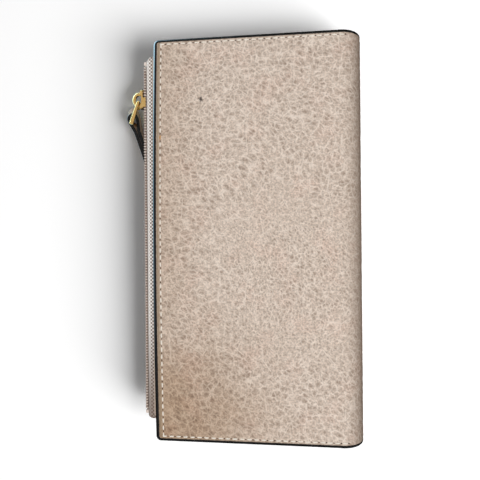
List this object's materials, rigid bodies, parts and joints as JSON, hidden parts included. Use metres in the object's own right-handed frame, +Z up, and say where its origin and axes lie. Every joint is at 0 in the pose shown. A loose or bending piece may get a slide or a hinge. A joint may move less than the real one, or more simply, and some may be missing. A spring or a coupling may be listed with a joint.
{
  "type": "wallet",
  "caption": "Long leather wallet: two covers joined by a rolled spine, card slots inside each cover and a zipped coin pocket between them with a leather zip pull.",
  "frame": {"origin": "middle of the flat outer face of the back cover, on which the closed wallet lies", "axes": "+X across the covers towards the spine, +Y along the spine towards the closed end of the zip, +Z up through the closed wallet"},
  "size_m": [0.1117, 0.184, 0.02],
  "materials": {
    "cover_leather": "pebbled grain, semi-matt",
    "slot_leather": "fine grain, semi-matt",
    "edge_paint": "glossy black edge paint",
    "board": "bonded fibre",
    "lining": "fine twill",
    "zip_tape": "woven polyester",
    "zip_teeth": "moulded polyester coil",
    "gold_metal": "polished light gold plating"
  },
  "bodies": {
    "back_leaf": {"back_leather": "cover_leather", "back_board": "board", "back_lining": "lining", "back_edge_paint": "edge_paint", "back_card_base": "lining", "back_card_slot_1": "slot_leather", "back_card_slot_2": "slot_leather", "back_card_slot_3": "slot_leather"},
    "zip_leaf": {"spine_leather": "cover_leather", "spine_lining": "lining", "spine_edge_paint": "edge_paint", "pocket_upper_leather": "slot_leather", "pocket_lower_leather": "slot_leather", "pocket_upper_lining": "lining", "pocket_lower_lining": "lining", "pocket_top_gusset": "lining", "pocket_bottom_gusset": "lining", "pocket_root_strip": "slot_leather", "zip_upper_tape": "zip_tape", "zip_lower_tape": "zip_tape", "zip_upper_teeth": "zip_teeth", "zip_lower_teeth": "zip_teeth", "zip_top_stops": "zip_teeth", "zip_bottom_stop": "zip_teeth"},
    "front_leaf": {"front_leather": "cover_leather", "front_board": "board", "front_lining": "lining", "front_edge_paint": "edge_paint", "front_card_base": "lining", "front_card_slot_1": "slot_leather", "front_card_slot_2": "slot_leather", "front_card_slot_3": "slot_leather"},
    "zip_slider": {"slider_body": "gold_metal", "slider_bridge": "gold_metal"},
    "link": {"pull_link": "gold_metal", "pull_pin": "gold_metal"},
    "tab": {"pull_tab": "slot_leather", "pull_tab_edge_paint": "edge_paint"}
  },
  "joints": [
    {"name": "lower_fold", "type": "hinge", "parent": "back_leaf", "child": "zip_leaf", "pos_m": [0.0456, 0, 0.00215], "axis": [0, 1, 0], "range_deg": [0, 90]},
    {"name": "upper_fold", "type": "hinge", "parent": "zip_leaf", "child": "front_leaf", "pos_m": [0.0456, 0, 0.01785], "axis": [0, 1, 0], "range_deg": [0, 90]},
    {"name": "zip_slide", "type": "slide", "parent": "zip_leaf", "child": "zip_slider", "axis": [0, 1, 0], "range_m": [-0.144, 0.0113]},
    {"name": "link_swing", "type": "hinge", "parent": "zip_slider", "child": "link", "pos_m": [-0.05694, 0.06633, 0.01], "axis": [0, 0, 1], "range_deg": [-142, 0]},
    {"name": "tab_swing", "type": "hinge", "parent": "link", "child": "tab", "pos_m": [-0.06019, 0.05688, 0.005], "axis": [0, 0, 1], "range_deg": [-76, 0]}
  ]
}
